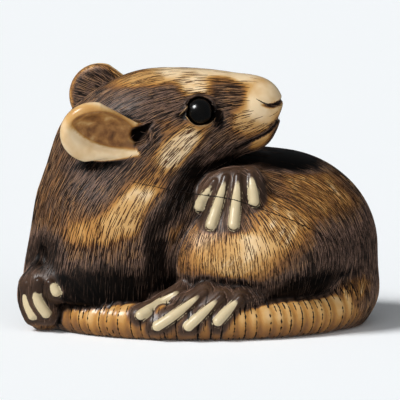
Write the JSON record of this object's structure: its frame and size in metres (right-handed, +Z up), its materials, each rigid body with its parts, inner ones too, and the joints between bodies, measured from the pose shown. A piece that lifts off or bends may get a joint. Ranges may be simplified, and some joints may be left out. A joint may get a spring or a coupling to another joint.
{
  "type": "netsuke",
  "caption": "Miniature carving of a curled rat, its head turned back over its haunch, with a flat underside and two joined cord holes.",
  "frame": {"origin": "on the flat underside, at the middle of the carving's length and near the middle of its depth", "axes": "+X along the carving's length towards the rump, the way the head faces; +Y away from the side that carries the turned head's near ear, the paws and the tail; +Z up from the underside"},
  "size_m": [0.0484, 0.0353, 0.0348],
  "materials": {
    "stained_ivory": "carved, stained and hand-polished ivory",
    "dark_horn": "polished dark horn"
  },
  "bodies": {
    "root": {"carved_rat": "stained_ivory", "near_eye": "dark_horn", "far_eye": "dark_horn"}
  },
  "joints": []
}
